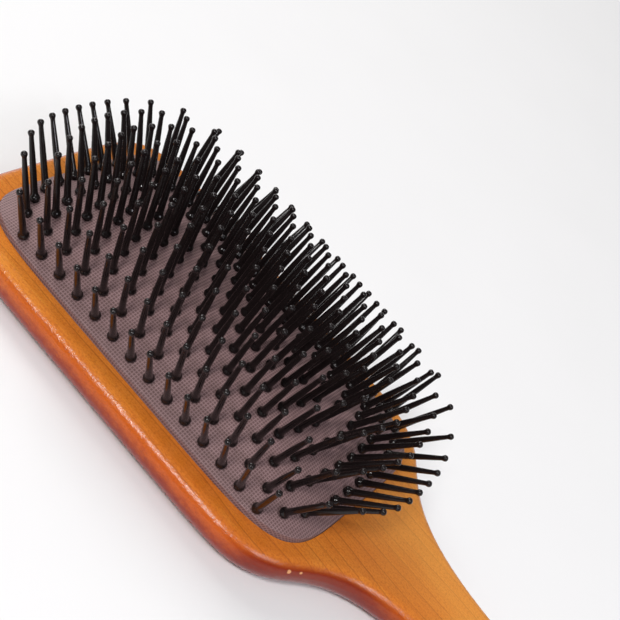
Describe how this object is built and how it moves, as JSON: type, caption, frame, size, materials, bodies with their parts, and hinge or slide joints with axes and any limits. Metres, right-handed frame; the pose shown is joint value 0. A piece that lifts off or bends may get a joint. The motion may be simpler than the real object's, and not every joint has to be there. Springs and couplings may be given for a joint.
{
  "type": "paddle hair brush",
  "caption": "Flat wooden paddle hair brush with a straight handle, a domed rubber cushion set in the face and rows of ball-tipped nylon pins.",
  "frame": {"origin": "on the flat back of the paddle, under the middle of the cushion", "axes": "+Z out of the cushion along the pins, +Y to the tip of the paddle with the handle at -Y, +X across the paddle; YZ is the mirror plane"},
  "size_m": [0.084, 0.2421, 0.0387],
  "materials": {
    "wood": "satin lacquer",
    "rubber": "matte with a fine woven texture",
    "backing_cloth": "matte plain weave",
    "adhesive": "matte",
    "nylon": "glossy"
  },
  "bodies": {
    "paddle": {"wooden_paddle": "wood", "rubber_cushion": "rubber", "cushion_backing_cloth": "backing_cloth", "cushion_glue_line": "adhesive"},
    "pin_ring_1": {"pins_ring_1_centre": "nylon", "pins_ring_1_left": "nylon", "pins_ring_1_right": "nylon"},
    "pin_ring_2": {"pins_ring_2_centre": "nylon", "pins_ring_2_left": "nylon", "pins_ring_2_right": "nylon"},
    "pin_ring_3": {"pins_ring_3_centre": "nylon", "pins_ring_3_left": "nylon", "pins_ring_3_right": "nylon"},
    "pin_ring_4": {"pins_ring_4_centre": "nylon", "pins_ring_4_left": "nylon", "pins_ring_4_right": "nylon"},
    "pin_ring_5": {"pins_ring_5_left": "nylon", "pins_ring_5_right": "nylon"},
    "pin_ring_6": {"pins_ring_6_centre": "nylon", "pins_ring_6_left": "nylon", "pins_ring_6_right": "nylon"},
    "pin_ring_7": {"pins_ring_7_left": "nylon", "pins_ring_7_right": "nylon"},
    "pin_ring_8": {"pins_ring_8_left": "nylon", "pins_ring_8_right": "nylon"}
  },
  "joints": [
    {"name": "cushion_press", "type": "slide", "parent": "paddle", "child": "pin_ring_1", "axis": [0, 0, -1], "range_m": [0, 0.004], "stiffness_N_per_m": 2500, "deforming": ["rubber_cushion", "cushion_backing_cloth"]},
    {"name": "ring_2_sink", "type": "slide", "parent": "paddle", "child": "pin_ring_2", "axis": [0, 0, -1], "range_m": [0, 0.00356]},
    {"name": "ring_3_sink", "type": "slide", "parent": "paddle", "child": "pin_ring_3", "axis": [0, 0, -1], "range_m": [0, 0.00322]},
    {"name": "ring_4_sink", "type": "slide", "parent": "paddle", "child": "pin_ring_4", "axis": [0, 0, -1], "range_m": [0, 0.0027]},
    {"name": "ring_5_sink", "type": "slide", "parent": "paddle", "child": "pin_ring_5", "axis": [0, 0, -1], "range_m": [0, 0.00212]},
    {"name": "ring_6_sink", "type": "slide", "parent": "paddle", "child": "pin_ring_6", "axis": [0, 0, -1], "range_m": [0, 0.00171]},
    {"name": "ring_7_sink", "type": "slide", "parent": "paddle", "child": "pin_ring_7", "axis": [0, 0, -1], "range_m": [0, 0.00122]},
    {"name": "ring_8_sink", "type": "slide", "parent": "paddle", "child": "pin_ring_8", "axis": [0, 0, -1], "range_m": [0, 0.00091]}
  ],
  "couplings": [
    {"joint": "ring_2_sink", "follows": "cushion_press", "ratio": 0.877},
    {"joint": "ring_3_sink", "follows": "cushion_press", "ratio": 0.7919},
    {"joint": "ring_4_sink", "follows": "cushion_press", "ratio": 0.6622},
    {"joint": "ring_5_sink", "follows": "cushion_press", "ratio": 0.5175},
    {"joint": "ring_6_sink", "follows": "cushion_press", "ratio": 0.414},
    {"joint": "ring_7_sink", "follows": "cushion_press", "ratio": 0.2914},
    {"joint": "ring_8_sink", "follows": "cushion_press", "ratio": 0.2141}
  ]
}
